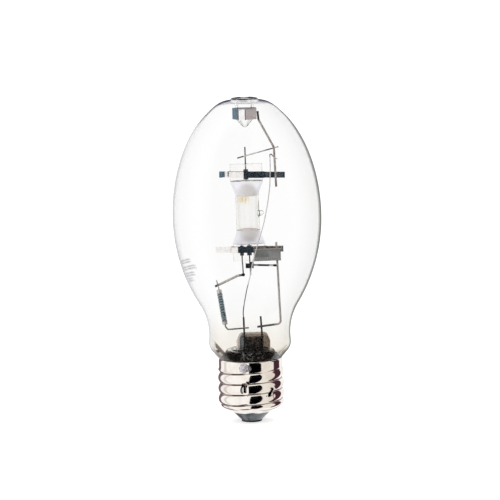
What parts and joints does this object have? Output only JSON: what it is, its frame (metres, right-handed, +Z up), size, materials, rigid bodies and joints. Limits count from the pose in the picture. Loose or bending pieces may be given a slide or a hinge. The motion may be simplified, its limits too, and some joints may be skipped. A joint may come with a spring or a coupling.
{
  "type": "metal halide lamp",
  "caption": "Discharge lamp with a clear egg-shaped bulb, a dimpled crown, a quartz arc tube in a split wire frame, and a large screw base.",
  "frame": {"origin": "middle of the centre contact's lower face, on the lamp's axis", "axes": "+Z up the lamp, from the contact to the dimple in the crown; +X to the right and -Y to the front as the picture shows it"},
  "size_m": [0.0888, 0.0888, 0.1949],
  "materials": {
    "clear_glass": "gloss",
    "stem_glass": "gloss",
    "quartz": "gloss",
    "plated_shell": "polished",
    "insulator": "gloss",
    "contact_brass": "satin",
    "solder": "satin",
    "spring_steel": "polished",
    "frame_steel": "satin",
    "nickel_wire": "satin",
    "strap_steel": "polished",
    "getter_steel": "satin",
    "bimetal": "satin",
    "heat_coat": "matte",
    "resistor_ceramic": "satin",
    "resistor_cap": "satin",
    "foil": "satin",
    "tungsten": "satin"
  },
  "bodies": {
    "lamp": {"outer_envelope": "clear_glass", "stem_glass": "stem_glass", "exhaust_tube": "stem_glass", "stem_lead_left": "nickel_wire", "stem_lead_right": "nickel_wire", "centre_contact_lead": "nickel_wire", "shell_lead": "nickel_wire", "screw_shell": "plated_shell", "base_insulator": "insulator", "centre_contact": "contact_brass", "shell_solder": "solder", "contact_solder": "solder", "dimple_clip": "spring_steel", "upper_frame_rod": "frame_steel", "lower_frame_rod": "frame_steel", "upper_crossbar": "nickel_wire", "flying_lead": "nickel_wire", "upper_strap_front": "strap_steel", "upper_strap_back": "strap_steel", "lower_strap_front": "strap_steel", "lower_strap_back": "strap_steel", "getter_strip": "getter_steel", "arc_tube": "quartz", "upper_heat_coat": "heat_coat", "lower_heat_coat": "heat_coat", "resistor_body": "resistor_ceramic", "resistor_cap_upper": "resistor_cap", "resistor_cap_lower": "resistor_cap", "resistor_lead_upper": "nickel_wire", "resistor_lead_lower": "nickel_wire", "switch_bracket": "strap_steel", "upper_foil": "foil", "lower_foil": "foil", "probe_foil": "foil", "upper_electrode": "tungsten", "lower_electrode": "tungsten", "starting_probe": "tungsten", "upper_arc_lead": "nickel_wire", "lower_arc_lead": "nickel_wire", "probe_lead": "nickel_wire", "probe_crossbar": "frame_steel", "main_crossbar": "frame_steel"},
    "switch_blade": {"bimetal_blade": "bimetal"}
  },
  "joints": [
    {"name": "bimetal_flex", "type": "hinge", "parent": "lamp", "child": "switch_blade", "pos_m": [-0.00136, -0.00695, 0.0951], "axis": [0, 0, 1], "range_deg": [0, 10], "stiffness_Nm_per_rad": 0.002}
  ]
}
